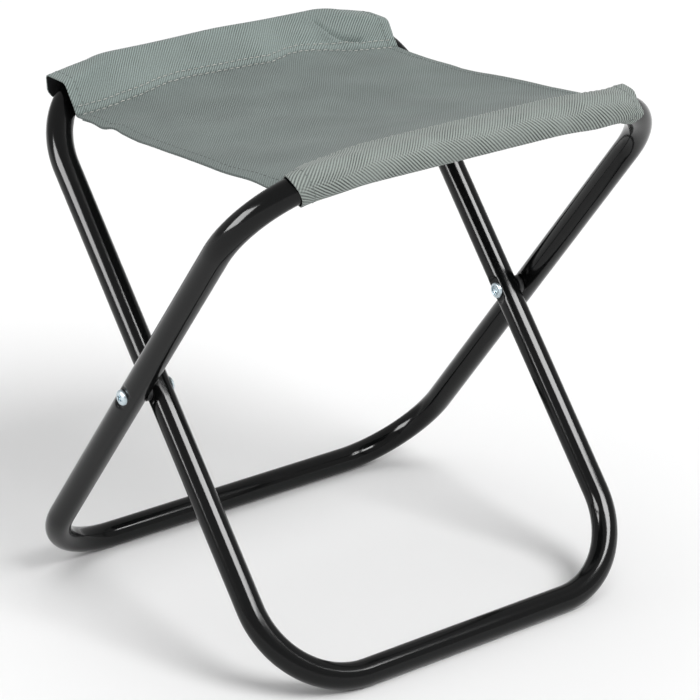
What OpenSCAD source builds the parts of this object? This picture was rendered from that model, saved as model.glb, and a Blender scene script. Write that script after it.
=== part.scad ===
// Folding camp stool: two bent steel tube loops crossed on two side pivots,
// with one cloth seat that has a sewn sleeve at each end for a top rail.
// Millimetres, +Z up, origin on the floor under the middle of the stool.
// X runs along the rails. The outer loop holds the front rail (-Y) and stands
// at the back, the inner loop holds the rear rail (+Y) and stands at the front.

/* [Frame] */
// Outside diameter of the steel tube
tube_d = 16; // [12:0.5:25]
// Wall thickness of the tube
tube_wall = 1; // [0.8:0.1:2]
// Overall width of the outer loop
outer_w = 310; // [250:1:420]
// Overall width of the inner loop
inner_w = 276; // [220:1:390]
// Distance from pivot to bottom rail centre
leg_low = 195; // [150:1:260]
// Distance from pivot to top rail centre
leg_up = 198; // [150:1:260]
// Centreline radius of the bends
bend_r = 56; // [30:1:80]
// Lean of each loop from the vertical when open
open_a = 39.2; // [30:0.1:50]

/* [Pivots] */
// Depth of the pressed flats where the screws pass
flat_depth = 1.2; // [0.5:0.1:2]
// Diameter of the pressed flats
flat_d = 13.5; // [10:0.5:16]
// Diameter of the screw head and of the nut flange
head_d = 10; // [8:0.5:14]
// Height of the pan head
head_h = 3.2; // [2:0.1:5]
// Screw shank diameter
shank_d = 5; // [4:0.5:6]
// Outside diameter of the barrel nut
barrel_d = 7; // [6:0.5:9]
// Radial clearance of the inner leg on the barrel
pivot_play = 0.07; // [0.01:0.01:0.1]
// Thickness of the nut's flange
flange_t = 1.8; // [1:0.1:3]
// Diameter of the plastic spacer between the legs
spacer_d = 12; // [10:0.5:14]

/* [Seat cloth] */
// Thickness of one layer of cloth
cloth_t = 0.8; // [0.4:0.1:1.5]
// Width of the seat cloth
seat_w = 238; // [180:1:300]
// How far the front sleeve follows the bends, in degrees
front_wrap_a = 30; // [10:1:45]
// How far the rear sleeve follows the bends, in degrees
rear_wrap_a = 50; // [20:1:60]
// Rail centre to seam, level, front sleeve
front_seam_y = 13.5; // [10:0.5:30]
// Rail centre up to seam, front sleeve
front_seam_z = 5.5; // [-10:0.5:8]
// Rail centre to seam, level, rear sleeve
rear_seam_y = 25; // [15:0.5:40]
// Rail centre down to seam, rear sleeve
rear_seam_z = 5; // [0:0.5:15]
// Depth of the seat's lowest line under the rail centres
seat_sag = 15; // [5:1:40]
// Width of the hem along each side edge
hem_w = 9; // [5:0.5:15]

/* [Stitching] */
// Length of one stitch
stitch_l = 3.3; // [1.5:0.1:3.4]
// Distance from one stitch to the next
stitch_pitch = 4.4; // [3.5:0.1:6]
// Thickness of the sewing thread
thread_d = 0.5; // [0.3:0.1:1]
// Distance between the two seam rows of the rear sleeve
row_gap = 4; // [2:0.5:8]

/* [Hidden] */
$fn = 48;
tube_r = tube_d / 2;
outer_x = (outer_w - tube_d) / 2;             // leg centres of the outer loop
inner_x = (inner_w - tube_d) / 2;             // leg centres of the inner loop
pivot_z = leg_low * cos(open_a) + tube_r;     // pivot axis above the floor
flat_x = tube_r - flat_depth;                 // flat seat from the leg's centre
rail_y = leg_up * sin(open_a);                // top rails, from the middle
rail_z = pivot_z + leg_up * cos(open_a);      // top rails, from the floor
sleeve_ri = tube_r + 0.1;                     // cloth lies on the tube
sleeve_ro = sleeve_ri + cloth_t;
front_y = -rail_y + front_seam_y;             // front seam line
front_z = rail_z + front_seam_z;
rear_y = rail_y - rear_seam_y;                // rear seam line
rear_z = rail_z - rear_seam_z;
seam_gap = 0.4;                               // between the panel and the sleeves
arc_n = 24;                                   // sides of a sleeve's round part
wrap_gap = 0.15;                              // degrees between a sleeve's straight part and its ends
wing_start = 0.3;                             // where the upper layer starts past the bends, rail 0 to seam 1
row_n = floor((seat_w - 20) / stitch_pitch);  // stitches in a seam row
black = [0.06, 0.06, 0.065];
zinc = [0.75, 0.76, 0.77];
cloth = [0.50, 0.55, 0.53];
thread = [0.78, 0.77, 0.72];

// ---- tube loops ---------------------------------------------------------

// One straight run of tube along +Z
module straight(l) {
    linear_extrude(height = l) difference() {
        circle(r = tube_r);
        circle(r = tube_r - tube_wall);
    }
}

// A quarter bend about the origin, in the XZ plane, from +X round to +Z
module bend() {
    rotate([90, 0, 0]) mirror([0, 0, 1]) rotate_extrude(angle = 90)
        translate([bend_r, 0]) difference() {
            circle(r = tube_r);
            circle(r = tube_r - tube_wall);
        }
}

// A closed loop in the XZ plane with the pivot at the origin
module tube_loop(x) {
    run = 2 * (x - bend_r);
    for (s = [-1, 1]) {
        translate([s * x, 0, bend_r - leg_low])
            straight(leg_low + leg_up - 2 * bend_r);
        for (z = [-leg_low, leg_up])
            if (s > 0) translate([-run / 2, 0, z]) rotate([0, 90, 0]) straight(run);
        translate([s * (x - bend_r), 0, leg_up - bend_r])
            mirror([s < 0 ? 1 : 0, 0, 0]) bend();
        translate([s * (x - bend_r), 0, bend_r - leg_low])
            mirror([s < 0 ? 1 : 0, 0, 0]) mirror([0, 0, 1]) bend();
    }
}

// Metal behind the pressed flats of one leg
module flat_backing(x) {
    intersection() {
        for (s = [-1, 1])
            translate([x + s * (flat_x - tube_wall), 0, 0])
                rotate([0, s * 90, 0]) cylinder(d = flat_d + 2, h = 3);
        translate([x, 0, -flat_d]) cylinder(r = tube_r, h = 2 * flat_d);
    }
}

// What is pressed in and drilled out of one leg
module flat_cuts(x, hole_r) {
    for (s = [-1, 1])
        translate([x + s * flat_x, 0, 0]) rotate([0, s * 90, 0])
            cylinder(d = flat_d, h = 4);
    translate([x - tube_d, 0, 0]) rotate([0, 90, 0])
        cylinder(r = hole_r, h = 2 * tube_d);
}

module pivoted_loop(x, hole_r) {
    difference() {
        union() {
            tube_loop(x);
            for (s = [-1, 1]) flat_backing(s * x);
        }
        for (s = [-1, 1]) flat_cuts(s * x, hole_r);
    }
}

// Puts what follows on the outer or the inner loop's leaning plane
module on_outer() { translate([0, 0, pivot_z]) rotate([open_a, 0, 0]) children(); }
module on_inner() { translate([0, 0, pivot_z]) rotate([-open_a, 0, 0]) children(); }

module outer_frame() color(black) on_outer()
    pivoted_loop(outer_x, shank_d / 2 + 0.1);

module inner_frame() color(black) on_inner()
    pivoted_loop(inner_x, barrel_d / 2 + pivot_play);

// ---- pivots, drawn for the +X side along +X ------------------------------

nut_face = inner_x - flat_x - 0.1;            // flange face against the inner leg
barrel_end = outer_x - flat_x;                // barrel stops at the outer leg

// Pan head screw with a cross recess, head outward
module screw() {
    head_x = outer_x + flat_x;
    difference() {
        union() {
            translate([head_x, 0, 0]) rotate([0, 90, 0]) {
                cylinder(d = head_d, h = head_h * 0.45);
                intersection() {
                    cylinder(d = head_d, h = head_h);
                    translate([0, 0, head_h - head_d * 0.62])
                        sphere(r = head_d * 0.62);
                }
            }
            translate([nut_face + 3, 0, 0]) rotate([0, 90, 0])
                cylinder(d = shank_d, h = head_x - nut_face - 3);
        }
        for (a = [0, 90]) translate([head_x + head_h, 0, 0]) rotate([a, 0, 0])
            cube([3.2, 1.1, 4.6], center = true);
    }
}

// Barrel nut: thin domed flange inside the inner leg, blind threaded barrel
module nut() {
    difference() {
        union() {
            translate([nut_face - flange_t, 0, 0]) rotate([0, 90, 0]) {
                cylinder(d = head_d - 1.6, h = flange_t);
                translate([0, 0, 0.6]) cylinder(d = head_d, h = flange_t - 0.6);
            }
            translate([nut_face - 0.01, 0, 0]) rotate([0, 90, 0])
                cylinder(d = barrel_d, h = barrel_end - nut_face + 0.01);
        }
        // screw bore
        translate([nut_face + 2, 0, 0]) rotate([0, 90, 0])
            cylinder(r = shank_d / 2 + 0.05, h = barrel_end);
        // hollow in the flange's middle
        translate([nut_face - flange_t - 1, 0, 0]) rotate([0, 90, 0])
            cylinder(d = 4.4, h = 2.4);
    }
}

module spacer() {
    translate([inner_x + flat_x + 0.1, 0, 0]) rotate([0, 90, 0]) difference() {
        cylinder(d = spacer_d, h = outer_x - inner_x - 2 * flat_x - 0.1);
        translate([0, 0, -1]) cylinder(r = barrel_d / 2 + 0.1, h = 20);
    }
}

module at_pivot(left) {
    translate([0, 0, pivot_z]) mirror([left ? 1 : 0, 0, 0]) children();
}

module screw_left() color(zinc) at_pivot(true) screw();
module screw_right() color(zinc) at_pivot(false) screw();
module nut_left() color(zinc) at_pivot(true) nut();
module nut_right() color(zinc) at_pivot(false) nut();
module spacer_left() color(black) at_pivot(true) spacer();
module spacer_right() color(black) at_pivot(false) spacer();

// ---- sleeves --------------------------------------------------------------

// Extrudes a profile drawn in (Y, Z) along X, about the middle
module along_x(l) {
    translate([-l / 2, 0, 0]) rotate([90, 0, 90]) linear_extrude(height = l) children();
}

// A sleeve is a ring of cloth round the rail with two flat layers that leave it
// at its tangents and meet in a seam dy, dz away from the rail's centre.
function seam_turn(dy, dz) = acos((sleeve_ro - cloth_t) / norm([dy, dz]));
function layer_n(dy, dz, up) =
    let (a = atan2(dz, dy) + (dy < 0 ? -1 : 1) * (up ? 1 : -1) * seam_turn(dy, dz))
    [cos(a), sin(a)];

// The sleeve's section: round the rail's far side, then both layers to the seam
function arc_pts(r, dy, dz) =
    let (a = atan2(dz, dy), t = (dy < 0 ? -1 : 1) * seam_turn(dy, dz),
         span = (t < 0 ? -360 : 360) - 2 * t)
    [for (i = [0 : arc_n]) r * [cos(a + t + span * i / arc_n),
                                sin(a + t + span * i / arc_n)]];

module sleeve_section(dy, dz) {
    s = [dy, dz];
    n1 = layer_n(dy, dz, true);
    n2 = layer_n(dy, dz, false);
    difference() {
        polygon(concat(arc_pts(sleeve_ro, dy, dz), [s + cloth_t * n2, s + cloth_t * n1]));
        polygon(concat(arc_pts(sleeve_ri, dy, dz), [s * (1 - 2.5 / norm(s))]));
    }
}

// The sleeve's part that follows one bend, in the loop's own plane
module wrap(x, deg) {
    for (s = [-1, 1])
        translate([s * (x - bend_r), 0, leg_up - bend_r])
            mirror([s < 0 ? 1 : 0, 0, 0])
                rotate([90, 0, 0]) mirror([0, 0, 1])
                    rotate([0, 0, 90 - deg]) rotate_extrude(angle = deg - wrap_gap)
                        translate([bend_r, 0]) difference() {
                            circle(r = sleeve_ro);
                            circle(r = sleeve_ri);
                        }
}

module front_sleeve() color(cloth) {
    translate([0, -rail_y, rail_z])
        along_x(2 * (outer_x - bend_r)) sleeve_section(front_seam_y, front_seam_z);
    on_outer() wrap(outer_x, front_wrap_a);
}

module rear_sleeve() color(cloth) {
    run = 2 * (inner_x - bend_r);
    edge = [-rear_seam_y, -rear_seam_z];
    n = layer_n(edge[0], edge[1], true);
    wing = (seat_w - run) / 2;
    translate([0, rail_y, rail_z]) {
        along_x(run) sleeve_section(edge[0], edge[1]);
        // the upper layer runs on straight past the bends
        for (s = [-1, 1]) translate([s * (run + wing) / 2, 0, 0])
            along_x(wing)
                polygon([sleeve_ro * n * (1 - wing_start)
                             + (edge + cloth_t * n) * wing_start,
                         edge + cloth_t * n, edge,
                         sleeve_ri * n * (1 - wing_start) + edge * wing_start]);
    }
    on_inner() wrap(inner_x, rear_wrap_a);
}

// ---- seat -----------------------------------------------------------------

low_z = rail_z - seat_sag - 1.5;
panel_y0 = front_y + seam_gap + 1;
panel_y1 = rear_y - seam_gap - 1.2;
panel_z0 = front_z - cloth_t;
panel_z1 = rear_z - 1;
panel_n = 24;

// Height of the seat's upper face at y: it hangs between the two seams and is
// lowest a little behind the middle
function seat_z(y) =
    let (u = (y - panel_y0) / (panel_y1 - panel_y0))
    u < 0.68 ? low_z + (panel_z0 - low_z) * pow(1 - u / 0.68, 2.6)
             : low_z + (panel_z1 - low_z) * pow((u - 0.68) / 0.32, 2.2);

// A strip of cloth under the curve, from depth a to depth b below it
module seat_strip(a, b) {
    ys = [for (i = [0 : panel_n]) panel_y0 + (panel_y1 - panel_y0) * i / panel_n];
    polygon(concat([for (y = ys) [y, seat_z(y) - a]],
                   [for (i = [panel_n : -1 : 0]) [ys[i], seat_z(ys[i]) - b]]));
}

module seat_panel() color(cloth) along_x(seat_w) seat_strip(0, cloth_t);

module hem(s) {
    translate([s * (seat_w - hem_w) / 2, 0, 0])
        along_x(hem_w) seat_strip(cloth_t, 2 * cloth_t);
}
module hem_left() color(cloth) hem(-1);
module hem_right() color(cloth) hem(1);

// ---- stitching --------------------------------------------------------------

// Rows along X of flat stitches, at height z over the seam point
module stitch_row(y, z, tilt) {
    for (i = [0 : row_n - 1])
        translate([(i - (row_n - 1) / 2) * stitch_pitch, y, z])
            rotate([tilt, 0, 0])
                translate([0, 0, thread_d / 2])
                    cube([stitch_l, thread_d, thread_d], center = true);
}

// A row at distance back from a sleeve's seam edge, on its upper layer
module sleeve_row(y, z, dy, dz, back) {
    n = layer_n(dy, dz, true);
    up = (dy < 0 ? 1 : -1) * [n[1], -n[0]];
    p = [dy, dz] + cloth_t * n + back * up;
    stitch_row(y + p[0], z + p[1], atan2(n[1], n[0]) - 90);
}

module stitch_rear_lower() color(thread)
    sleeve_row(rail_y, rail_z, -rear_seam_y, -rear_seam_z, 1.2);
module stitch_rear_upper() color(thread)
    sleeve_row(rail_y, rail_z, -rear_seam_y, -rear_seam_z, 1.2 + row_gap);

module stitch_front() color(thread)
    intersection() {
        sleeve_row(-rail_y, rail_z, front_seam_y, front_seam_z, 1.2);
        cube([2 * (outer_x - bend_r) - 4, 1000, 1000], center = true);
    }

// Stitches along a side hem, one on each facet of the seat's curve
module hem_stitches(s) {
    n = 2 * panel_n;
    for (i = [1 : n - 2]) {
        y = panel_y0 + (panel_y1 - panel_y0) * (i + 0.5) / n;
        k = floor((i + 0.5) / 2);
        ya = panel_y0 + (panel_y1 - panel_y0) * k / panel_n;
        yb = panel_y0 + (panel_y1 - panel_y0) * (k + 1) / panel_n;
        za = seat_z(ya);
        zb = seat_z(yb);
        translate([s * (seat_w / 2 - 6), y, za + (zb - za) * (y - ya) / (yb - ya)])
            rotate([atan2(zb - za, yb - ya), 0, 0])
                translate([0, 0, thread_d / 2])
                    cube([thread_d, stitch_l, thread_d], center = true);
    }
}
module stitch_hem_left() color(thread) hem_stitches(-1);
module stitch_hem_right() color(thread) hem_stitches(1);

outer_frame();
inner_frame();
screw_left();
screw_right();
nut_left();
nut_right();
spacer_left();
spacer_right();
front_sleeve();
rear_sleeve();
seat_panel();
hem_left();
hem_right();
stitch_front();
stitch_rear_upper();
stitch_rear_lower();
stitch_hem_left();
stitch_hem_right();
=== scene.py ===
import math

import bmesh
import bpy
import numpy as np
from mathutils import Matrix, Vector


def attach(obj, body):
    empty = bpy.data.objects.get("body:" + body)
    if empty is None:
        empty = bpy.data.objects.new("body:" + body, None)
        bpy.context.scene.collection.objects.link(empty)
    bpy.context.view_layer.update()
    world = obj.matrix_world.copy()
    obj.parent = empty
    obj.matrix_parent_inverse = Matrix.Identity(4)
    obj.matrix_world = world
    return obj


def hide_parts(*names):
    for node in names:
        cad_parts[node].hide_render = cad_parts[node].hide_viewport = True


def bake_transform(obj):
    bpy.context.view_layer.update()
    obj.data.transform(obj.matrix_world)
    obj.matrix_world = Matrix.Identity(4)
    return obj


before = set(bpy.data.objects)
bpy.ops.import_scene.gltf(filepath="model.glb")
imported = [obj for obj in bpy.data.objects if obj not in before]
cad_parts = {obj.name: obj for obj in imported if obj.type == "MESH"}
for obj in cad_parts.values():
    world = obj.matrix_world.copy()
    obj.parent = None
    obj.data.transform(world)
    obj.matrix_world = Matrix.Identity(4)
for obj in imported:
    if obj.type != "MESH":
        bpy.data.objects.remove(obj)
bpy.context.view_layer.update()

# ---- the stool's own sizes, in millimetres, as in the CAD source ----------
MM = 0.001
LEAN = math.radians(39.2)  # of each loop from the vertical
LEG_LOW = 195.0  # from the pivots down to the bottom run, along the leg
LEG_UP = 198.0  # from the pivots up to the top run
BEND_R = 56.0
TUBE_R = 8.0
X_OUT, X_IN = 147.0, 130.0  # leg centrelines of the outer and inner loop
FLAT_X = TUBE_R - 1.2  # from a leg's centreline to the flat pressed at its pivot
PIVOT_Z = LEG_LOW * math.cos(LEAN) + TUBE_R
PIVOT = np.array([0, 0, PIVOT_Z])
RAIL_Y = LEG_UP * math.sin(LEAN)
RAIL_UP = LEG_UP * math.cos(LEAN)  # above the pivots
rng = np.random.default_rng(11)


def smooth(t):
    t = np.clip(t, 0.0, 1.0)
    return t * t * (3 - 2 * t)


def hump(x, centre, width):
    """1 at the centre, and next to nothing two widths away."""
    return np.exp(-((x - centre) / width) ** 2)


def mix(a, b, k):
    return a * (1 - k) + b * k


def mesh_object(name, verts, faces, material, smooth_shade=True):
    """A new object from points in millimetres."""
    me = bpy.data.meshes.new(name)
    points = [tuple(float(c) * MM for c in v) for v in verts]
    me.from_pydata(points, [], [tuple(map(int, f)) for f in faces])
    me.validate()
    if smooth_shade:
        me.shade_smooth()
    me.materials.append(material)
    o = bpy.data.objects.new(name, me)
    bpy.context.scene.collection.objects.link(o)
    return o


# ---- materials --------------------------------------------------------------
def new_material(name):
    m = bpy.data.materials.new(name)
    m.use_nodes = True
    nt = m.node_tree
    return m, nt, nt.nodes["Principled BSDF"]


def node(nt, kind, **values):
    n = nt.nodes.new(kind)
    for k, v in values.items():
        if k in n.inputs:
            n.inputs[k].default_value = v
        else:
            setattr(n, k, v)
    return n


def math_node(nt, op, *values):
    n = nt.nodes.new("ShaderNodeMath")
    n.operation = op
    for socket, v in zip(n.inputs, values):
        if isinstance(v, (int, float)):
            socket.default_value = v
        else:
            nt.links.new(v, socket)
    return n.outputs[0]


def noise(nt, space, scale, detail):
    """Noise of about 0 to 1 in Object coordinates (metres) or UV (millimetres)."""
    place = node(nt, "ShaderNodeTexCoord")
    n = node(nt, "ShaderNodeTexNoise", Scale=scale, Detail=detail)
    nt.links.new(place.outputs[space], n.inputs["Vector"])
    return n.outputs["Fac"]


def remap(nt, value, at_0, at_1):
    """A value of 0 to 1 brought to at_0 to at_1."""
    n = nt.nodes.new("ShaderNodeMapRange")
    n.inputs["To Min"].default_value = at_0
    n.inputs["To Max"].default_value = at_1
    nt.links.new(value, n.inputs["Value"])
    return n.outputs[0]


def ramp(nt, value, lo, hi, at_lo, at_hi):
    """A smooth step of value from at_lo (below lo) to at_hi (above hi)."""
    n = nt.nodes.new("ShaderNodeMapRange")
    n.interpolation_type = "SMOOTHSTEP"
    for k, v in (("From Min", lo), ("From Max", hi), ("To Min", at_lo), ("To Max", at_hi)):
        n.inputs[k].default_value = v
    nt.links.new(value, n.inputs["Value"])
    return n.outputs[0]


def two_tone(nt, value, dark, light):
    n = node(nt, "ShaderNodeMix", data_type="RGBA")
    n.inputs[6].default_value = (*dark, 1)
    n.inputs[7].default_value = (*light, 1)
    nt.links.new(value, n.inputs[0])
    return n.outputs[2]


def add_bump(nt, p, height, strength, distance):
    bump = node(nt, "ShaderNodeBump", Strength=strength, Distance=distance)
    nt.links.new(height, bump.inputs["Height"])
    nt.links.new(bump.outputs[0], p.inputs["Normal"])


def paint_material():
    m, nt, p = new_material("gloss_black_paint")
    p.inputs["Base Color"].default_value = (0.0030, 0.0032, 0.0033, 1)
    p.inputs["IOR"].default_value = 1.32
    add_bump(nt, p, noise(nt, "Object", 260.0, 2.0), 0.05, 0.0004)  # orange peel
    wear = noise(nt, "Object", 26.0, 4.0)
    nt.links.new(remap(nt, wear, 0.09, 0.17), p.inputs["Roughness"])
    return m


def zinc_material():
    m, nt, p = new_material("zinc_plate")
    p.inputs["Metallic"].default_value = 1.0
    grain = noise(nt, "Object", 900.0, 3.0)
    tone = two_tone(nt, grain, (0.42, 0.50, 0.55), (0.62, 0.70, 0.73))
    nt.links.new(tone, p.inputs["Base Color"])
    nt.links.new(remap(nt, grain, 0.24, 0.42), p.inputs["Roughness"])
    return m


def plastic_material():
    m, nt, p = new_material("black_nylon")
    p.inputs["Base Color"].default_value = (0.012, 0.012, 0.013, 1)
    grain = noise(nt, "Object", 1500.0, 2.0)
    nt.links.new(remap(nt, grain, 0.42, 0.58), p.inputs["Roughness"])
    return m


def thread_material(name, dark, light):
    m, nt, p = new_material(name)
    tone = two_tone(nt, noise(nt, "Object", 150.0, 2.0), dark, light)
    nt.links.new(tone, p.inputs["Base Color"])
    p.inputs["Roughness"].default_value = 0.75
    return m


def coating_material():
    m, nt, p = new_material("black_coating")
    grain = noise(nt, "Object", 800.0, 3.0)
    tone = two_tone(nt, grain, (0.010, 0.010, 0.011), (0.022, 0.023, 0.024))
    nt.links.new(tone, p.inputs["Base Color"])
    p.inputs["Roughness"].default_value = 0.6
    add_bump(nt, p, grain, 0.3, 0.0002)
    return m


# Woven cloth: UV is in millimetres across (u) and along (s) the cloth. The weave
# is a twill whose steep diagonal ribs are 1.84 mm apart across the cloth. Round
# the front rail the ribs turn into a chevron. The ribs stand out on the sleeves,
# which are stretched over the tubes, and are faint and patchy on the hanging seat.
# The ribs' light and dark in the colour are partly the weave and partly painted shade, strongest on
# the sleeves where light grazes them.
RIB_ACROSS, RIB_SLOPE = 1.84, 0.87
CHEVRON_ACROSS, CHEVRON_SLOPE = 2.3, 1.06
CHEVRON_AT = 23.5  # along the cloth, before the front seam
CHEVRON_SWAY = 9.0  # how far the turn wanders along the cloth
YARN = 0.62  # spacing of the single yarns
RIB_WANDER = 1.5  # how far the ribs wander across the cloth
CLOTH_TONE = (0.152, 0.184, 0.174)
# the ribs' swing of the tone is partly painted shade
RIB_DEPTH = 0.85  # how far the ribs swing the tone
FRONT_TINT = (1.07, 1.0, 0.985, 1)
ROW_LOWER, ROW_UPPER = 0.1, 5.5  # the rear seam's two rows of thread, past the seam
ROW_FRONT = -2.0  # the front seam's row
FRONT_SLIP = 5.0  # how far the front seam slips down at its left end


def cloth_ribs(nt, u, s, s_front):
    """The ribs, -1 to 1, with the chevron on the front sleeve."""
    across = math_node(nt, "MULTIPLY_ADD", noise(nt, "UV", 0.05, 2.0), RIB_WANDER, u)

    def ribs_of(slope, spacing):
        phase = math_node(nt, "MULTIPLY_ADD", s, slope, across)
        return math_node(nt, "SINE", math_node(nt, "MULTIPLY", phase, 2 * math.pi / spacing))

    sway = math_node(nt, "SUBTRACT", noise(nt, "UV", 0.035, 1.0), 0.5)
    turn_at = math_node(nt, "MULTIPLY_ADD", sway, CHEVRON_SWAY, s)
    slipped = ramp(nt, u, -112.0, -70.0, FRONT_SLIP, 0.0)  # with the seam, at the left end
    turn_at = math_node(nt, "ADD", turn_at, slipped)
    at = s_front - CHEVRON_AT
    chevron = ramp(nt, turn_at, at - 3.5, at + 1.5, 1.0, 0.0)
    plain = math_node(nt, "SUBTRACT", 1.0, chevron)
    rib = math_node(nt, "MULTIPLY", ribs_of(-RIB_SLOPE, RIB_ACROSS), plain)
    return math_node(nt, "MULTIPLY_ADD", ribs_of(CHEVRON_SLOPE, CHEVRON_ACROSS), chevron, rib)


def cloth_height(nt, u, s, rib, on_front, on_rear):
    """Height of the weave: ribs, strongest on the sleeves, single yarns, and fuzz."""
    shown = ramp(nt, noise(nt, "UV", 0.05, 3.0), 0.35, 0.65, 0.55, 1.0)
    # stronger ribs on the sleeves: in the colour this is partly painted shade, for light grazing
    # the sleeves
    strength = math_node(nt, "MULTIPLY_ADD", on_rear, 0.38, 0.46)
    strength = math_node(nt, "MULTIPLY_ADD", on_front, 0.75, strength)
    height = math_node(nt, "MULTIPLY", rib, math_node(nt, "MULTIPLY", shown, strength))
    warp = math_node(nt, "SINE", math_node(nt, "MULTIPLY", u, 2 * math.pi / YARN))
    weft = math_node(nt, "SINE", math_node(nt, "MULTIPLY", s, 2 * math.pi / YARN))
    yarns = math_node(nt, "MULTIPLY", warp, weft)
    height = math_node(nt, "MULTIPLY_ADD", yarns, 0.12, height)
    fuzz = math_node(nt, "SUBTRACT", noise(nt, "UV", 1.1, 2.0), 0.5)
    return math_node(nt, "MULTIPLY_ADD", fuzz, 1.1, height)


def cloth_shade(nt, s, s_front, s_rear, on_front, on_rear):
    """Blotches, painted light on the sleeves, painted shade under the front rail, and painted shade
    along the seams.
    """
    shade = ramp(nt, noise(nt, "UV", 0.02, 2.0), 0.3, 0.7, -0.09, 0.01)
    # painted light: the sleeves are painted paler than the seat, for the light that falls on them
    painted_sleeve_light = math_node(nt, "MULTIPLY_ADD", on_front, 0.31, math_node(nt, "MULTIPLY", on_rear, 0.20))
    # painted shade: the front sleeve's lower part, under the rail, is painted darker
    painted_underside_shade = ramp(nt, s, s_front - 32.0, s_front - 16.0, -0.15, 0.0)
    shade = math_node(nt, "ADD", shade, math_node(nt, "ADD", painted_sleeve_light, painted_underside_shade))
    # painted shade: a dark line painted along each row of the rear seam, where the seam's groove
    # would shade
    for row in (s_rear + ROW_LOWER, s_rear + ROW_UPPER):
        off = math_node(nt, "ABSOLUTE", math_node(nt, "SUBTRACT", s, row))
        shade = math_node(nt, "ADD", shade, ramp(nt, off, 0.2, 1.5, -0.14, 0.0))
    return shade


def cloth_material(s_front, s_rear):
    """The woven cloth. s_front and s_rear are where the two seams lie along it."""
    m, nt, p = new_material("woven_polyester")
    place = node(nt, "ShaderNodeTexCoord")
    sep = node(nt, "ShaderNodeSeparateXYZ")
    nt.links.new(place.outputs["UV"], sep.inputs[0])
    u, s = sep.outputs[0], sep.outputs[1]
    on_front = ramp(nt, s, s_front - 3.0, s_front - 0.5, 1.0, 0.0)
    on_rear = ramp(nt, s, s_rear, s_rear + 3.0, 0.0, 1.0)
    height = cloth_height(nt, u, s, cloth_ribs(nt, u, s, s_front), on_front, on_rear)
    shade = cloth_shade(nt, s, s_front, s_rear, on_front, on_rear)
    # the colour follows the weave's height, so the ribs' light and dark are partly painted shade
    tone = math_node(nt, "ADD", math_node(nt, "MULTIPLY_ADD", height, 0.5, 0.5), shade)
    dark = [c * (1 - RIB_DEPTH) for c in CLOTH_TONE]
    light = [c * (1 + RIB_DEPTH) for c in CLOTH_TONE]
    tint = node(nt, "ShaderNodeMix", data_type="RGBA", blend_type="MULTIPLY")
    tint.inputs[7].default_value = FRONT_TINT
    nt.links.new(on_front, tint.inputs[0])
    nt.links.new(two_tone(nt, tone, dark, light), tint.inputs[6])
    nt.links.new(tint.outputs[2], p.inputs["Base Color"])
    p.inputs["Roughness"].default_value = 0.85
    p.inputs["Sheen Weight"].default_value = 0.12
    p.inputs["Sheen Roughness"].default_value = 0.5
    p.inputs["Specular IOR Level"].default_value = 0.3
    add_bump(nt, p, height, 0.45, 0.0003)
    return m


PAINT = paint_material()
ZINC = zinc_material()
NYLON = plastic_material()
THREAD = thread_material("sewing_thread", (0.20, 0.22, 0.21), (0.62, 0.62, 0.57))
FRONT_THREAD = thread_material("front_thread", (0.24, 0.265, 0.25), (0.36, 0.375, 0.35))
HEM_THREAD = thread_material("hem_thread", (0.10, 0.12, 0.113), (0.18, 0.21, 0.20))
COATING = coating_material()

# ---- tube loops --------------------------------------------------------------
TUBE_SIDES = 56
BEND_STEPS = 40
ROW_STEP = 6.0  # between the rings of points on a straight run
PRESS_R, PRESS_SLOPE = 10.2, 3.3  # the round pressed flat and the slope at its edge


def loop_path(x):
    """Centreline of a loop in its own plane: rows of (u, v, tangent u, tangent v)."""
    pts = []

    def line(a, b, fine=False):
        """A straight run. A leg has closer rows round its pivot."""
        a, b = np.array(a, float), np.array(b, float)
        length = np.linalg.norm(b - a)
        t = (b - a) / length
        at = np.arange(0, length, ROW_STEP)
        if fine:
            pivot = -a[1] * t[1]
            at = np.unique(np.concatenate([at, pivot + np.arange(-14, 14.01, 0.5)]))
            at = at[(at >= 0) & (at < length)]
        for s in at:
            pts.append([*(a + t * s), *t])

    def arc(cx, cy, a0):
        for k in range(BEND_STEPS):
            q = math.radians(a0 + 90 * k / BEND_STEPS)
            cos, sin = math.cos(q), math.sin(q)
            pts.append([cx + BEND_R * cos, cy + BEND_R * sin, -sin, cos])

    i, lo, hi = x - BEND_R, -LEG_LOW, LEG_UP
    line((-i, lo), (i, lo))
    arc(i, lo + BEND_R, -90)
    line((x, lo + BEND_R), (x, hi - BEND_R), True)
    arc(i, hi - BEND_R, 0)
    line((i, hi), (-i, hi))
    arc(-i, hi - BEND_R, 90)
    line((-x, hi - BEND_R), (-x, lo + BEND_R), True)
    arc(-i, lo + BEND_R, 180)
    return np.array(pts)


def plane_axes(side):
    """In-plane up direction and plane normal of the outer (-1) or inner (+1) loop."""
    v = np.array([0, side * math.sin(LEAN), math.cos(LEAN)])
    n = np.array([0, -side * math.cos(LEAN), math.sin(LEAN)])
    return v, n


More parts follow.
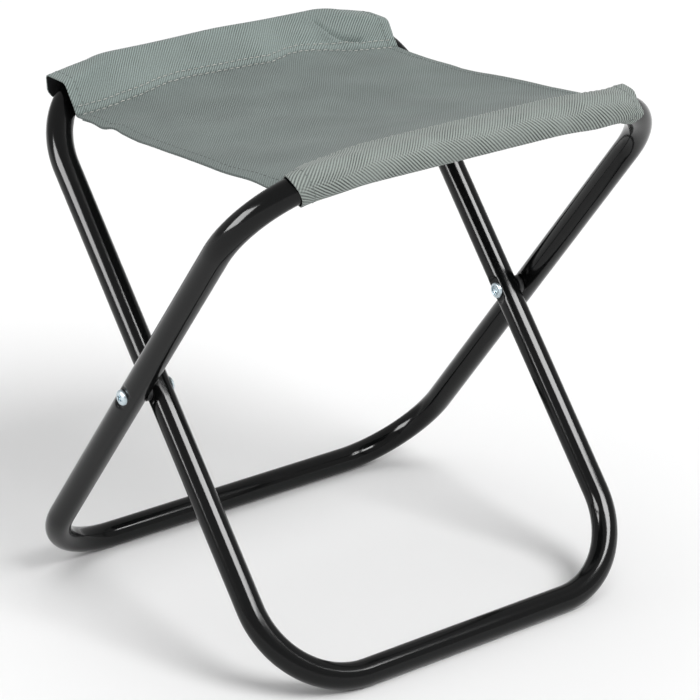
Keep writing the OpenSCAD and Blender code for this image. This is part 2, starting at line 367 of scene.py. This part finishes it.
def tube_loop(name, x, side):
    path = loop_path(x)
    up_axis, normal = plane_axes(side)
    q = np.linspace(0, 2 * math.pi, TUBE_SIDES, endpoint=False)
    rings = []
    for u, v, tu, tv in path:
        off, dep = TUBE_R * np.cos(q), TUBE_R * np.sin(q)
        if abs(v) < 16 and abs(tv) > 0.99:  # the legs' pressed flats
            pressed = smooth((PRESS_R - np.hypot(v, dep)) / PRESS_SLOPE)
            limit = TUBE_R - (TUBE_R - FLAT_X) * pressed
            off = np.sign(off) * np.minimum(np.abs(off), limit)
        ring = np.outer(u + off * tv, [1, 0, 0]) + np.outer(v - off * tu, up_axis)
        rings.append(ring + np.outer(dep, normal) + PIVOT)
    n = len(path)
    faces = []
    for i in range(n):
        a, b = i * TUBE_SIDES, (i + 1) % n * TUBE_SIDES
        for j in range(TUBE_SIDES):
            k = (j + 1) % TUBE_SIDES
            faces.append((a + j, b + j, b + k, a + k))
    return mesh_object(name, np.concatenate(rings), faces, PAINT)


outer_tube = tube_loop("outer_tube", X_OUT, -1)
inner_tube = tube_loop("inner_tube", X_IN, 1)
for o, body, cad in ((outer_tube, "outer", "outer_frame"), (inner_tube, "inner", "inner_frame")):
    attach(o, body)
    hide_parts(cad)

# ---- pivots ------------------------------------------------------------------
# Profiles are rows of (x, radius). The screw's x is from the outer leg's flat
# outwards, the nut's from the outer face of its flange outwards, and the spacer's
# from either of its ends inwards.
SCREW = ((-14, 2.5), (0, 2.5), (0, 4.5), (0.15, 4.7), (0.8, 4.7), (1.3, 4.6), (1.8, 4.3),
         (2.2, 3.8), (2.5, 2.9), (2.65, 1.8), (2.7, 0.7), (2.7, 0.1))
HEAD_HIGH = 2.7
NUT = ((3, 3.45), (0, 3.5), (-0.02, 4.85), (-0.2, 5.0), (-0.8, 5.0), (-1.2, 4.8), (-1.55, 4.35),
       (-1.75, 3.9), (-1.75, 3.5), (-1.6, 3.2), (-0.9, 3.05), (-0.9, 2.6), (-1.4, 2.4),
       (-1.5, 2.1), (-1.35, 1.8), (-0.7, 1.5), (-0.6, 0.1))
SPACER_END = ((0, 3.6), (0, 5.6), (0.35, 5.95), (0.8, 6.0))
RECESS = ((1.0, 0.62, 2.75), (-1.1, 0.5, 1.9), (-2.0, 0.35, 0.7))  # height, arm width / 2, reach
RECESS_TURN = math.radians(31)
FREE = 0.1  # between a turning piece and the inner leg
EDGE_ANGLE = math.radians(38)  # edges sharper than this stay sharp


def lathe(name, profile, material, side, sides=48):
    """Turned piece about the pivot axis: profile rows are (x, radius), mirrored by side."""
    q = np.linspace(0, 2 * math.pi, sides, endpoint=False)
    verts = [(side * x, r * math.cos(a), PIVOT_Z + r * math.sin(a)) for x, r in profile for a in q]
    faces = []
    for i in range(len(profile) - 1):
        a, b = i * sides, (i + 1) * sides
        for j in range(sides):
            k = (j + 1) % sides
            f = (a + j, a + k, b + k, b + j)
            faces.append(f if side > 0 else f[::-1])
    first = tuple(range(sides))
    last = tuple(range((len(profile) - 1) * sides, len(profile) * sides))
    faces += [first[::-1], last] if side > 0 else [first, last[::-1]]
    o = mesh_object(name, verts, faces, material)
    o.data.set_sharp_from_angle(angle=EDGE_ANGLE)
    return o


def cut(o, cutter):
    mod = o.modifiers.new("cut", "BOOLEAN")
    mod.operation = "DIFFERENCE"
    mod.solver = "EXACT"
    mod.object = cutter
    dg = bpy.context.evaluated_depsgraph_get()
    o.data = bpy.data.meshes.new_from_object(o.evaluated_get(dg))
    o.modifiers.clear()
    bpy.data.objects.remove(cutter)
    o.data.shade_smooth()
    o.data.set_sharp_from_angle(angle=EDGE_ANGLE)


def cross(w, a):
    """Outline of a cross whose arms are 2 w wide and reach a from its middle."""
    return [(-w, -a), (-w, -w), (-a, -w), (-a, w), (-w, w), (-w, a),
            (w, a), (w, w), (a, w), (a, -w), (w, -w), (w, -a)]


def cross_cutter(x, side):
    """A cross recess that narrows as it goes in."""
    verts, faces = [], []
    for depth, w, a in RECESS:
        verts += [(side * (x + depth), p, PIVOT_Z + q) for p, q in cross(w, a)]
    for i in (0, 12):
        for j in range(12):
            k = (j + 1) % 12
            faces.append((i + j, i + k, i + 12 + k, i + 12 + j))
    faces += [tuple(range(12))[::-1], tuple(range(24, 36))]
    c = mesh_object("cutter", verts, faces, ZINC, False)
    bm = bmesh.new()
    bm.from_mesh(c.data)
    turn = Matrix.Rotation(RECESS_TURN, 3, "X")
    bmesh.ops.rotate(bm, cent=(0, 0, PIVOT_Z * MM), matrix=turn, verts=bm.verts)
    bmesh.ops.recalc_face_normals(bm, faces=bm.faces)
    bm.to_mesh(c.data)
    bm.free()
    return c


for side, word in ((-1, "left"), (1, "right")):
    seat = X_OUT + FLAT_X
    screw = lathe(f"pivot_screw_{word}", [(seat + x, r) for x, r in SCREW], ZINC, side)
    cut(screw, cross_cutter(seat + HEAD_HIGH, side))
    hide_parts(f"screw_{word}")
    flange = X_IN - FLAT_X - FREE
    nut = lathe(f"pivot_nut_{word}", [(flange + x, r) for x, r in NUT], ZINC, side)
    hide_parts(f"nut_{word}")
    a, b = X_IN + FLAT_X + FREE, X_OUT - FLAT_X
    ring = [(a + x, r) for x, r in SPACER_END] + [(b - x, r) for x, r in SPACER_END[::-1]]
    spacer = lathe(f"pivot_spacer_{word}", ring, NYLON, side)
    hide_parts(f"spacer_{word}")
    for o, s in ((screw, "zinc"), (nut, "zinc"), (spacer, "black_plastic")):
        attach(o, "outer")

# ---- seat cloth --------------------------------------------------------------
# One strip of cloth, a grid of columns across (X) and rows along it: round the
# front rail, over the hanging seat, and round the rear rail. Sections are in
# (Y, Z) with Z from the pivot axis. x is a column's distance from the middle.
HALF = 119.0
GAP = 0.55  # middle of the cloth off the tube
THICK = 0.8
BEND_OUT, BEND_IN = X_OUT - BEND_R, X_IN - BEND_R  # where the loops' bends start
RAIL_TOP = RAIL_UP + TUBE_R + GAP
SLEEVE_REACH = BEND_IN + 30.0  # the rear sleeve's lower layer stops here
NU = 161  # columns
NF, NP, NR = 58, 132, 84  # rows of the front sleeve, the seat panel and the rear sleeve
FRONT_SHIFT = 2.1  # the front sleeve has slipped a little to the right
FRONT_SEAM = (-111.4, 160.7)
FRONT_DROOP = (4.6, 2.8)  # of the seam at its left and right end
REAR_SEAM = (97.5, 144.6)
STRAY_X = (-119, -72, -55, -40, 8, 22, 38, 50, 66, 84, 102, 119)
STRAY = (-1.5, -1.5, 0.9, 1.2, -0.5, -1.5, 2.4, 2.9, 0.7, -1.4, -1.0, -2.2)
FRONT_END = (-121.5, 154.2)  # middle of the front sleeve's curl at its right end
FRONT_END_R = 4.6
RIDGE_END_Y, RIDGE_END_R = 124.6, 2.2  # the rear sleeve's back edge at its ends
BROW_END_Y, BROW_END_R = 109.0, 6.3  # and its front edge
MOUTH_FALL = ((6.2, 1.35), (8.6, 1.55))  # how far its left and right mouth falls, and the power
SEAT_LOW = 141.3  # height of the hanging seat's lowest line in the middle
EDGE_LOW = (139.2, 137.4)  # and at its left and right edge
EDGE_DROP = (0.54, 0.45)  # the share of the fall right behind the front rail at those edges


def rail_ring(x, bend_start, side):
    """The cloth's outline round the tube where the plane X = x cuts a loop's top run."""
    d = min(max(0.0, abs(x) - bend_start), BEND_R - TUBE_R - 2.5)
    hi = math.sqrt((BEND_R + TUBE_R) ** 2 - d * d)
    lo = math.sqrt((BEND_R - TUBE_R) ** 2 - d * d)
    q = np.linspace(0, 2 * math.pi, 120, endpoint=False)
    v = LEG_UP - BEND_R + (hi + lo) / 2 + ((hi - lo) / 2 + GAP) * np.cos(q)
    w = (TUBE_R + GAP) * np.sin(q)
    y = side * (v * math.sin(LEAN) - w * math.cos(LEAN))
    return np.stack([y, v * math.cos(LEAN) + w * math.sin(LEAN)], 1)


def hull(points):
    """Convex outline of (Y, Z) points, anticlockwise."""
    def turn(p, q, r):
        return (q[0] - p[0]) * (r[1] - p[1]) - (q[1] - p[1]) * (r[0] - p[0])

    pts = sorted(map(tuple, points))
    out = []
    for seq in (pts, pts[::-1]):
        part = []
        for p in seq:
            while len(part) > 1 and turn(part[-2], part[-1], p) <= 0:
                part.pop()
            part.append(p)
        out += part[:-1]
    return np.array(out)


def circle(c, r, n=72):
    q = np.linspace(0, 2 * math.pi, n, endpoint=False)
    return np.stack([c[0] + r * np.cos(q), c[1] + r * np.sin(q)], 1)


def lengths(line):
    """Distance along a line of points, at each of them."""
    return np.concatenate([[0], np.cumsum(np.linalg.norm(np.diff(line, axis=0), axis=1))])


def resample(line, n):
    d = lengths(line)
    t = np.linspace(0, d[-1], n)
    return np.stack([np.interp(t, d, line[:, k]) for k in (0, 1)], 1)


def open_clockwise(loop, point):
    """A closed anticlockwise loop opened at its point nearest to point, and run the other way."""
    k = int(np.argmin(np.linalg.norm(loop - point, axis=1)))
    loop = np.roll(loop, -k, axis=0)
    return np.vstack([loop, loop[:1]])[::-1]


def front_slip(x):
    """How far the front seam has slipped down behind the rail, at the left end only."""
    return FRONT_SLIP * smooth((-x - 104) / 15)


def front_seam(x):
    """The front seam, which droops towards its ends."""
    droop = FRONT_DROOP[int(x > 0)]
    y, z = FRONT_SEAM
    z = z - droop * smooth((abs(x) - 60) / 60) + 1.3 * smooth((x - 106) / 14)
    return np.array([y, z]) + front_slip(x) * np.array([0.06, -1])


def rear_seam(x):
    """The rear seam. It wanders by a few millimetres."""
    k = smooth((abs(x) - 38) / 82)
    stray = np.interp(x, STRAY_X, STRAY)
    y, z = REAR_SEAM
    return np.array([y - 1.0 * k + 0.75 * stray, z - 6.6 * k + 0.45 * stray])


def front_loop(x, n):
    """From the seam's underside, under the rail, round its front and back over the top."""
    s = front_seam(x)
    ring = rail_ring(x, BEND_OUT, -1)
    if x > 0:  # the right mouth is cut shorter underneath
        under = slice(50, 98)
        ring[under] = rail_ring(x * (1 - 0.06 * (x / HALF) ** 6), BEND_OUT, -1)[under]
    slack = ring - [0.3, 1.5 * hump(x, -98, 15) + 1.7 * hump(x, 91, 18)]
    parts = [ring, slack, circle(s, 0.5, 12)]
    if x > 75:  # the right end stays up where the tube bends down
        k = smooth((x - 75) / 45)
        middle = mix(np.array([-RAIL_Y, RAIL_UP]), np.array(FRONT_END), k)
        parts.append(circle(middle, mix(TUBE_R, FRONT_END_R, k)))
    return resample(open_clockwise(hull(np.vstack(parts)), s + [0.4, -0.6]), n)


def sleeve_under(x):
    """How far out the rear sleeve's lower layer lies under column x."""
    past = max(0.0, abs(x) - BEND_IN)
    reach = past * (SLEEVE_REACH - BEND_IN) / (HALF - BEND_IN)
    return math.copysign(min(abs(x), BEND_IN) + reach, x)


def rear_loop(x, n):
    """From the seam up over the rail, down its back, under it and back to the seam.

    Past the bends the tube drops away, and the sleeve's upper side stays up as a
    slack, rounded mouth."""
    s = rear_seam(x)
    upper, lower = rail_ring(x, BEND_IN, 1), rail_ring(sleeve_under(x), BEND_IN, 1)
    quarter = len(upper) // 4
    ring = np.vstack([upper[:quarter], upper[-quarter:], lower[quarter:-quarter]])
    k = smooth((abs(x) - 66) / 53)
    fall, steep = MOUTH_FALL[int(x > 0)]
    top = RAIL_TOP + hump(x, 0, 28) - fall * max(0.0, (abs(x) - 70) / 49) ** steep
    ridge_r = mix(TUBE_R + GAP, RIDGE_END_R, k)
    ridge = circle((mix(RAIL_Y, RIDGE_END_Y, k), top - ridge_r), ridge_r)
    brow_r = mix(TUBE_R, BROW_END_R, k)
    brow = circle((mix(RAIL_Y, BROW_END_Y, k), top - 0.2 * k - brow_r), brow_r)
    loop = hull(np.vstack([ring, ridge, brow, circle(s, 0.5, 12)]))
    return resample(open_clockwise(loop, s + [-0.4, 0.5]), n)


def panel_line(x, n):
    """The hanging seat between its two seams: taut in the middle, and near its
    side edges dropping at once behind the front rail."""
    a, b = front_seam(x), rear_seam(x)
    k = (abs(x) / HALF) ** 4
    low = mix(SEAT_LOW, EDGE_LOW[int(x > 0)], (abs(x) / HALF) ** 3)
    t = np.linspace(0, 1, n + 2)[1:-1]
    drop = mix(0.08, EDGE_DROP[int(x > 0)], k)
    level = 0.68  # where the seat is lowest, as a share of its length
    hang = np.clip(1 - t / level, 0, 1)
    hang = mix(hang ** 2.1, hang ** 0.95, k)
    front = drop * np.exp(-t / mix(0.05, 0.02, k)) + (1 - drop) * hang
    rear = np.clip((t - level) / (1 - level), 0, 1) ** 1.9
    slip = front_slip(x)
    z = low + (a[1] + slip - low) * front + (b[1] - low) * rear - slip * np.exp(-t / 0.04)
    y = a[0] + (b[0] - a[0]) * t
    if x < 0:  # the left edge is wavy near the rear seam
        z = z + k * (0.7 * hump(y, 57, 6) - 1.6 * hump(y, 69, 7))
    return np.stack([y, z], 1)


def front_x(x):
    """X down the front sleeve: its layer under the bends bunches up inwards."""
    i = np.arange(NF) / (NF - 1)
    reach = 1 - 0.03 * hump(i, 0.22, 0.16)
    if x > 0:
        cut_back = 0.06 * hump(i, 0.36, 0.12) + 0.02 * hump(i, 0.75, 0.12)
        reach = reach * 1.012 - cut_back * (x / HALF) ** 6
    else:  # the left mouth is cut slanting, longest over the top of the rail
        reach = reach - 0.005 + 0.055 * (x / HALF) ** 6 * hump(i, 0.72, 0.2)
    return x * reach + FRONT_SHIFT


def panel_x(x):
    """X down the seat panel, which is narrowest nearer to the rear seam."""
    t = np.linspace(0, 1, NP)
    flare = 1.015 if x < 0 else 1.0
    widths = (flare, 1.012 * flare, 1.012, 1.0, 0.981, 0.995)
    width = np.interp(t, (0, 0.04, 0.14, 0.5, 0.8, 1), widths)
    return x * width + FRONT_SHIFT * (1 - smooth(t / 0.3))


def rear_x(x):
    """X down the rear sleeve: its lower layer stops short on the bends."""
    i = np.arange(NR) / (NR - 1)
    under = smooth((i - 0.52) / 0.2) * (1 - smooth((i - 0.88) / 0.12) * 0.75)
    return mix(x * mix(0.995, 1.0, smooth(i / 0.2)), sleeve_under(x), under)


def cloth_grid():
    """Middle surface of the smooth cloth: (X, Y, Z) by row and column."""
    g = np.zeros((NF + NP + NR, NU, 3))
    for j, x in enumerate(cols * HALF):
        g[:, j, 0] = np.concatenate([front_x(x), panel_x(x), rear_x(x)])
        parts = [front_loop(x + FRONT_SHIFT, NF), panel_line(x, NP), rear_loop(x, NR)]
        g[:, j, 1:] = np.vstack(parts)
    # soften the joins between the three parts
    for r in (NF, NF + NP - 1) * 2:
        for k in (r - 1, r):
            g[k, :, 1:] = (g[k - 1, :, 1:] + 2 * g[k, :, 1:] + g[k + 1, :, 1:]) / 4
    return g


cols = np.linspace(-1, 1, NU)
grid = cloth_grid()
rows_n = len(grid)
along = lengths(grid[:, NU // 2, 1:])
length = along[-1]
s_front, s_rear = along[NF], along[NF + NP]


def normals(g):
    """Unit normals of the grid, which point up on the seat and outwards round the rails."""
    n = np.cross(np.gradient(g, axis=1), np.gradient(g, axis=0))
    return n / np.maximum(np.linalg.norm(n, axis=2, keepdims=True), 1e-9)


def waves(g, count, lo, hi, seed):
    """Smooth random height over the cloth from a few plane waves of wavelength lo..hi."""
    r = np.random.default_rng(seed)
    x, s = g[:, :, 0], np.repeat(along[:, None], NU, 1)
    h = np.zeros(x.shape)
    for _ in range(count):
        wl = r.uniform(lo, hi)
        a = r.uniform(0, math.pi)
        phase = r.uniform(0, 6.28)
        h += np.sin((x * math.cos(a) + s * math.sin(a)) * 2 * math.pi / wl + phase)
    return h / math.sqrt(count)


# one sharp crease runs down from the rear sleeve's ridge and away to the right,
# as points of (X, length past the rear seam)
CREASE = np.array([(68.0, 29.0), (70.0, 23.0), (72.0, 18.0), (74.5, 13.5), (79.5, 10.2),
                   (86.0, 7.6), (93.0, 6.8)])
CREASE_DEEP = 2.5
FOLD_HIGH = 1.7  # the raised fold beside the crease


def near_crease(g, dx, ds):
    """Distance of every grid point from the crease moved by (dx, ds)."""
    t = np.linspace(0, len(CREASE) - 1, 60)
    px, ps = (np.interp(t, np.arange(len(CREASE)), CREASE[:, k]) for k in (0, 1))
    above = along[:, None] - s_rear
    far = np.full(g.shape[:2], 1e9)
    for a, b in zip(px + dx, ps + ds):
        far = np.minimum(far, (g[:, :, 0] - a) ** 2 + (above - b) ** 2)
    return np.sqrt(far)


def seat_waves(g):
    """Long and short waves in the hanging seat, still at its seams."""
    on_panel = np.zeros((rows_n, 1))
    on_panel[NF:NF + NP, 0] = np.sin(math.pi * np.linspace(0, 1, NP)) ** 0.5
    long_waves = waves(g, count=9, lo=45, hi=120, seed=3) * 0.55
    short_waves = waves(g, count=12, lo=14, hi=34, seed=5) * 0.10
    return (long_waves + short_waves) * on_panel


def rear_folds(g):
    """Loose folds, the swelling on the right and the crease of the rear sleeve."""
    x, above = g[:, :, 0], along[:, None] - s_rear
    on_rear = np.zeros((rows_n, 1))
    on_rear[NF + NP:, 0] = hump(np.arange(NR) / (NR - 1), 0.15, 0.10)
    lift = waves(g, count=7, lo=30, hi=70, seed=8) * 0.45 * on_rear
    swell = smooth((x + 5) / 50) * (1 - 0.6 * smooth((x - 95) / 20))
    lift += swell * (0.9 * hump(above, 15, 5.5) - 0.7 * hump(above, 7.5, 2.6))
    lift -= CREASE_DEEP * hump(near_crease(g, 0, 0), 0, 1.8)
    lift += FOLD_HIGH * hump(near_crease(g, -3.6, -2.8), 0, 2.6)
    return lift


REAR_PUCKER, FRONT_PUCKER = 0.26, 0.10


def puckers(g):
    """Small gathers along both seams."""
    x = g[:, :, 0]
    rear = REAR_PUCKER * np.sin(x * 2 * math.pi / 8.8 + 0.9 * np.sin(x / 13))
    front = FRONT_PUCKER * np.sin(x * 2 * math.pi / 9.4 + 1.1 * np.sin(x / 17))
    front = front * (1 - smooth((x - 60) / 20))
    return rear * hump(along, s_rear, 7)[:, None] + front * hump(along, s_front, 5)[:, None]


def clear_of_tube(g, x, side, least):
    """The grid pushed out wherever it comes nearer than least to a loop's centreline."""
    vd, nd = plane_axes(side)
    v, w = g @ vd, g @ nd
    du = g[:, :, 0] - np.clip(g[:, :, 0], BEND_R - x, x - BEND_R)
    dv = v - np.minimum(v, LEG_UP - BEND_R)
    r = np.maximum(np.hypot(du, dv), 1e-3)
    k = (1 - BEND_R / r)[:, :, None]
    away = (du[:, :, None] * [1, 0, 0] + dv[:, :, None] * vd) * k + w[:, :, None] * nd
    d = np.linalg.norm(away, axis=2)
    short = np.where((r > 1) & (d < least), (least - d) / np.maximum(d, 1e-6), 0.0)
    return g + away * short[:, :, None]


lift = seat_waves(grid) + rear_folds(grid) + puckers(grid)
grid += normals(grid) * lift[:, :, None]
grid = clear_of_tube(grid, X_OUT, -1, TUBE_R + GAP)
grid = clear_of_tube(grid, X_IN, 1, TUBE_R + GAP)
nrm = normals(grid)


def shell_faces(h, w):
    """Faces of a two-layer sheet of h by w points: lists of (row, column, layer)."""
    faces = []
    for r in range(h - 1):
        for c in range(w - 1):
            q = [(r, c), (r, c + 1), (r + 1, c + 1), (r + 1, c)]
            faces.append([(*p, 0) for p in q])
            faces.append([(*p, 1) for p in q[::-1]])
    edge = [(0, c) for c in range(w)] + [(r, w - 1) for r in range(1, h)]
    edge += [(h - 1, c) for c in range(w - 2, -1, -1)] + [(r, 0) for r in range(h - 2, 0, -1)]
    for p, q in zip(edge, edge[1:] + edge[:1]):
        faces.append([(*p, 0), (*p, 1), (*q, 1), (*q, 0)])
    return faces


def shell_object(name, rows, columns, depths):
    """A sheet of cloth between two depths below the grid, with UV in millimetres."""
    part = np.ix_(rows, columns)
    layers = [(grid[part] - nrm[part] * d).reshape(-1, 3) for d in depths]
    h, w = len(rows), len(columns)
    faces = shell_faces(h, w)
    numbers = [[layer * h * w + r * w + c for r, c, layer in f] for f in faces]
    uvs = [(cols[columns[c]] * HALF, along[rows[r]]) for f in faces for r, c, layer in f]
    o = mesh_object(name, np.concatenate(layers) + PIVOT, numbers, CLOTH)
    uv_map = o.data.uv_layers.new(name="UVMap")
    uv_map.data.foreach_set("uv", np.array(uvs, np.float32).ravel())
    o.data.set_sharp_from_angle(angle=math.radians(50))
    return o, faces


CLOTH = cloth_material(s_front, s_rear)
cloth, cloth_faces = shell_object("seat_cloth", np.arange(rows_n), np.arange(NU),
                                  (-THICK / 2, THICK / 2))
# the black coating covers the inner layer
cloth.data.materials.append(COATING)
coated = np.array([all(layer for r, c, layer in f) for f in cloth_faces], np.int32)
cloth.data.polygons.foreach_set("material_index", coated)

# ---- stitching ---------------------------------------------------------------
up = grid + nrm * THICK / 2
up_n = normals(up)
SEG, RING = 6, 8  # lengths of one stitch, and points round it
STITCH_STRAY = 0.16  # to either side of the seam


def surface_at(u, s):
    """Point and normal on the cloth's outer face at column u (-1..1) and length s."""
    r = np.clip(np.interp(s, along, np.arange(rows_n)), 0, rows_n - 1.001)
    c = np.clip((u + 1) / 2 * (NU - 1), 0, NU - 1.001)
    r0, c0 = int(r), int(c)
    fr, fc = r - r0, c - c0

    def value(g):
        return mix(mix(g[r0, c0], g[r0, c0 + 1], fc), mix(g[r0 + 1, c0], g[r0 + 1, c0 + 1], fc), fr)

    n = value(up_n)
    return value(up), n / np.linalg.norm(n)


def stitch_line(start, end, wide):
    """Middle and normal along one stitch, which dips into the cloth at both its ends."""
    pts = []
    for t in np.arange(SEG + 1) / SEG:
        p, n = surface_at(mix(start[0], end[0], t), mix(start[1], end[1], t))
        pts.append((p + n * wide * (0.42 - 0.75 * (2 * t - 1) ** 2), n))
    return pts


def stitch_verts(pts, wide):
    """Rings of points round one stitch, thinner towards its ends."""
    verts = []
    for i, (p, n) in enumerate(pts):
        way = pts[min(i + 1, SEG)][0] - pts[max(i - 1, 0)][0]
        side_v = np.cross(way / max(np.linalg.norm(way), 1e-9), n)
        r = wide / 2 * math.sqrt(max(0.12, 1 - (2 * i / SEG - 1) ** 2 * 0.8))
        for g in np.arange(RING) * 2 * math.pi / RING:
            verts.append(p + r * (math.cos(g) * side_v * 1.15 + math.sin(g) * n) + PIVOT)
    return verts


def stitch_faces(base):
    """Faces of one stitch whose points are numbered from base."""
    faces = []
    for a in range(base, base + SEG * RING, RING):
        for q in range(RING):
            k = (q + 1) % RING
            faces.append((a + q, a + k, a + RING + k, a + RING + q))
    faces.append(tuple(range(base, base + RING))[::-1])
    faces.append(tuple(range(base + SEG * RING, base + (SEG + 1) * RING)))
    return faces


def stitch_row(name, cad, ends, pitch, long, wide, thread):
    """A row of stitches from ends[0] to ends[1], each (u, s) on the cloth."""
    (u0, s0), (u1, s1) = ends
    n = int(math.hypot((u1 - u0) * HALF, s1 - s0) / pitch)
    across = abs(u1 - u0) > 0.5
    verts, faces = [], []
    for k in range(n):
        stray = rng.uniform(-STITCH_STRAY, STITCH_STRAY, 2)[0] * across
        t0, t1 = (k + 0.12) / n, (k + 0.12 + long / pitch) / n
        start, end = ((mix(u0, u1, t), mix(s0, s1, t) + stray) for t in (t0, t1))
        faces += stitch_faces(len(verts))
        verts += stitch_verts(stitch_line(start, end, wide), wide)
    o = mesh_object(name, verts, faces, thread)
    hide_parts(cad)
    return o


HEM_U = 1 - 6.5 / HALF
HEM_ENDS = 8.0, length - 30.0  # the hem rows' ends along the cloth
lower, upper, front = s_rear + ROW_LOWER, s_rear + ROW_UPPER, s_front + ROW_FRONT
# name, ends, pitch, length and width of a stitch, thread
ROWS = (
    ("rear_lower", ((-0.97, lower), (0.97, lower)), 4.4, 3.3, 0.5, THREAD),
    ("rear_upper", ((-0.98, upper), (0.97, upper)), 4.4, 3.3, 0.5, THREAD),
    ("front", ((-0.97, front), (0.97, front)), 4.4, 3.3, 0.42, FRONT_THREAD),
    ("hem_left", [(-HEM_U, s) for s in HEM_ENDS], 4.2, 3.1, 0.45, HEM_THREAD),
    ("hem_right", [(HEM_U, s) for s in HEM_ENDS], 4.2, 3.1, 0.45, HEM_THREAD),
)
stitches = [stitch_row(f"stitches_{row[0]}", f"stitch_{row[0]}", *row[1:]) for row in ROWS]

# the cloth turned under along both sides of the hanging seat
HEM_COLUMNS = 7
HEM_DEPTHS = (THICK * 0.62, THICK * 1.42)
hems = []
for word, first in (("left", 0), ("right", NU - HEM_COLUMNS)):
    rows, columns = np.arange(NF + 3, NF + NP - 3), np.arange(first, first + HEM_COLUMNS)
    hem = shell_object(f"hem_strip_{word}", rows, columns, HEM_DEPTHS)[0]
    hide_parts(f"hem_{word}")
    hems.append(hem)

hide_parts("front_sleeve", "seat_panel", "rear_sleeve")
for o in [cloth] + stitches + hems:
    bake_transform(o)

# ---- floor, light and camera ---------------------------------------------------
FLOOR_HALF = 9000
fm, nt, p = new_material("pale_floor")
p.inputs["Base Color"].default_value = (0.95, 0.95, 0.95, 1)
p.inputs["Roughness"].default_value = 0.9
p.inputs["Specular IOR Level"].default_value = 0.1
corners = [(x * FLOOR_HALF, y * FLOOR_HALF, 0) for x, y in ((-1, -1), (1, -1), (1, 1), (-1, 1))]
floor = mesh_object("floor", corners, [(0, 1, 2, 3)], fm, False)

world = bpy.data.worlds.new("studio")
bpy.context.scene.world = world
world.use_nodes = True
wt = world.node_tree
# a dim room above a bright horizon
way = node(wt, "ShaderNodeTexCoord")
axes = node(wt, "ShaderNodeSeparateXYZ")
wt.links.new(way.outputs["Generated"], axes.inputs[0])
glow = ramp(wt, axes.outputs[2], 0.02, 0.12, 0.95, 0.50)
wt.links.new(glow, wt.nodes["Background"].inputs[1])
wt.nodes["Background"].inputs[0].default_value = (1, 1, 1, 1)


def direction(azimuth, elevation):
    """Unit vector out from the stool. Azimuth is from the front (-Y) towards +X, in degrees."""
    az, el = math.radians(azimuth), math.radians(elevation)
    return Vector((math.sin(az) * math.cos(el), -math.cos(az) * math.cos(el), math.sin(el)))


def place_light(name, light, toward, where):
    o = bpy.data.objects.new(name, light)
    bpy.context.scene.collection.objects.link(o)
    o.location = where
    o.rotation_mode = "QUATERNION"
    o.rotation_quaternion = toward.to_track_quat("Z", "Y")
    return o


def lamp(name, azimuth, elevation, spread, strength):
    """A far, soft lamp, as wide as spread in degrees. The paint doesn't mirror it."""
    light = bpy.data.lights.new(name, "SUN")
    light.angle = math.radians(spread)
    light.energy = strength
    toward = direction(azimuth, elevation)
    place_light(name, light, toward, toward * 3).visible_glossy = False


def softbox(name, azimuth, elevation, away, wide, tall, radiance):
    """A rectangular lamp that faces the pivots, and only gives the gloss its highlights."""
    light = bpy.data.lights.new(name, "AREA")
    light.shape = "RECTANGLE"
    light.size = wide
    light.size_y = tall
    light.energy = radiance * math.pi * wide * tall
    toward = direction(azimuth, elevation)
    where = toward * away + Vector((0, 0, PIVOT_Z * MM))
    place_light(name, light, toward, where).visible_diffuse = False


lamp("key", azimuth=10, elevation=47, spread=26, strength=1.75)
lamp("overhead", azimuth=0, elevation=90, spread=70, strength=0.6)
softbox("left_softbox", azimuth=-97, elevation=25, away=1.3, wide=0.66, tall=0.62, radiance=20.0)
softbox("front_softbox", azimuth=14, elevation=47, away=1.3, wide=0.95, tall=0.42, radiance=27.0)

ROLL = math.radians(-0.767)
DISTANCE, SHIFT_RIGHT, SHIFT_UP = 1681.2, 6.43, -8.82  # eye from the pivots' middle, in mm
back = direction(-36.493, 21.943)
level = Vector((0, 0, 1)).cross(back).normalized()
rise = back.cross(level)
right = math.cos(ROLL) * level + math.sin(ROLL) * rise
upward = -math.sin(ROLL) * level + math.cos(ROLL) * rise
eye = back * DISTANCE + right * SHIFT_RIGHT + upward * SHIFT_UP + Vector((0, 0, PIVOT_Z))
eye *= MM
cam_data = bpy.data.cameras.new("camera")
cam_data.lens = 143.76
cam_data.sensor_width = 36
cam_data.clip_start = 0.01
cam_data.clip_end = 60
cam = bpy.data.objects.new("camera", cam_data)
frame_rows = [[right[i], upward[i], back[i], eye[i]] for i in range(3)]
cam.matrix_world = Matrix(frame_rows + [[0, 0, 0, 1]])
bpy.context.scene.collection.objects.link(cam)
bpy.context.scene.camera = cam
bpy.context.scene.view_settings.view_transform = "Standard"
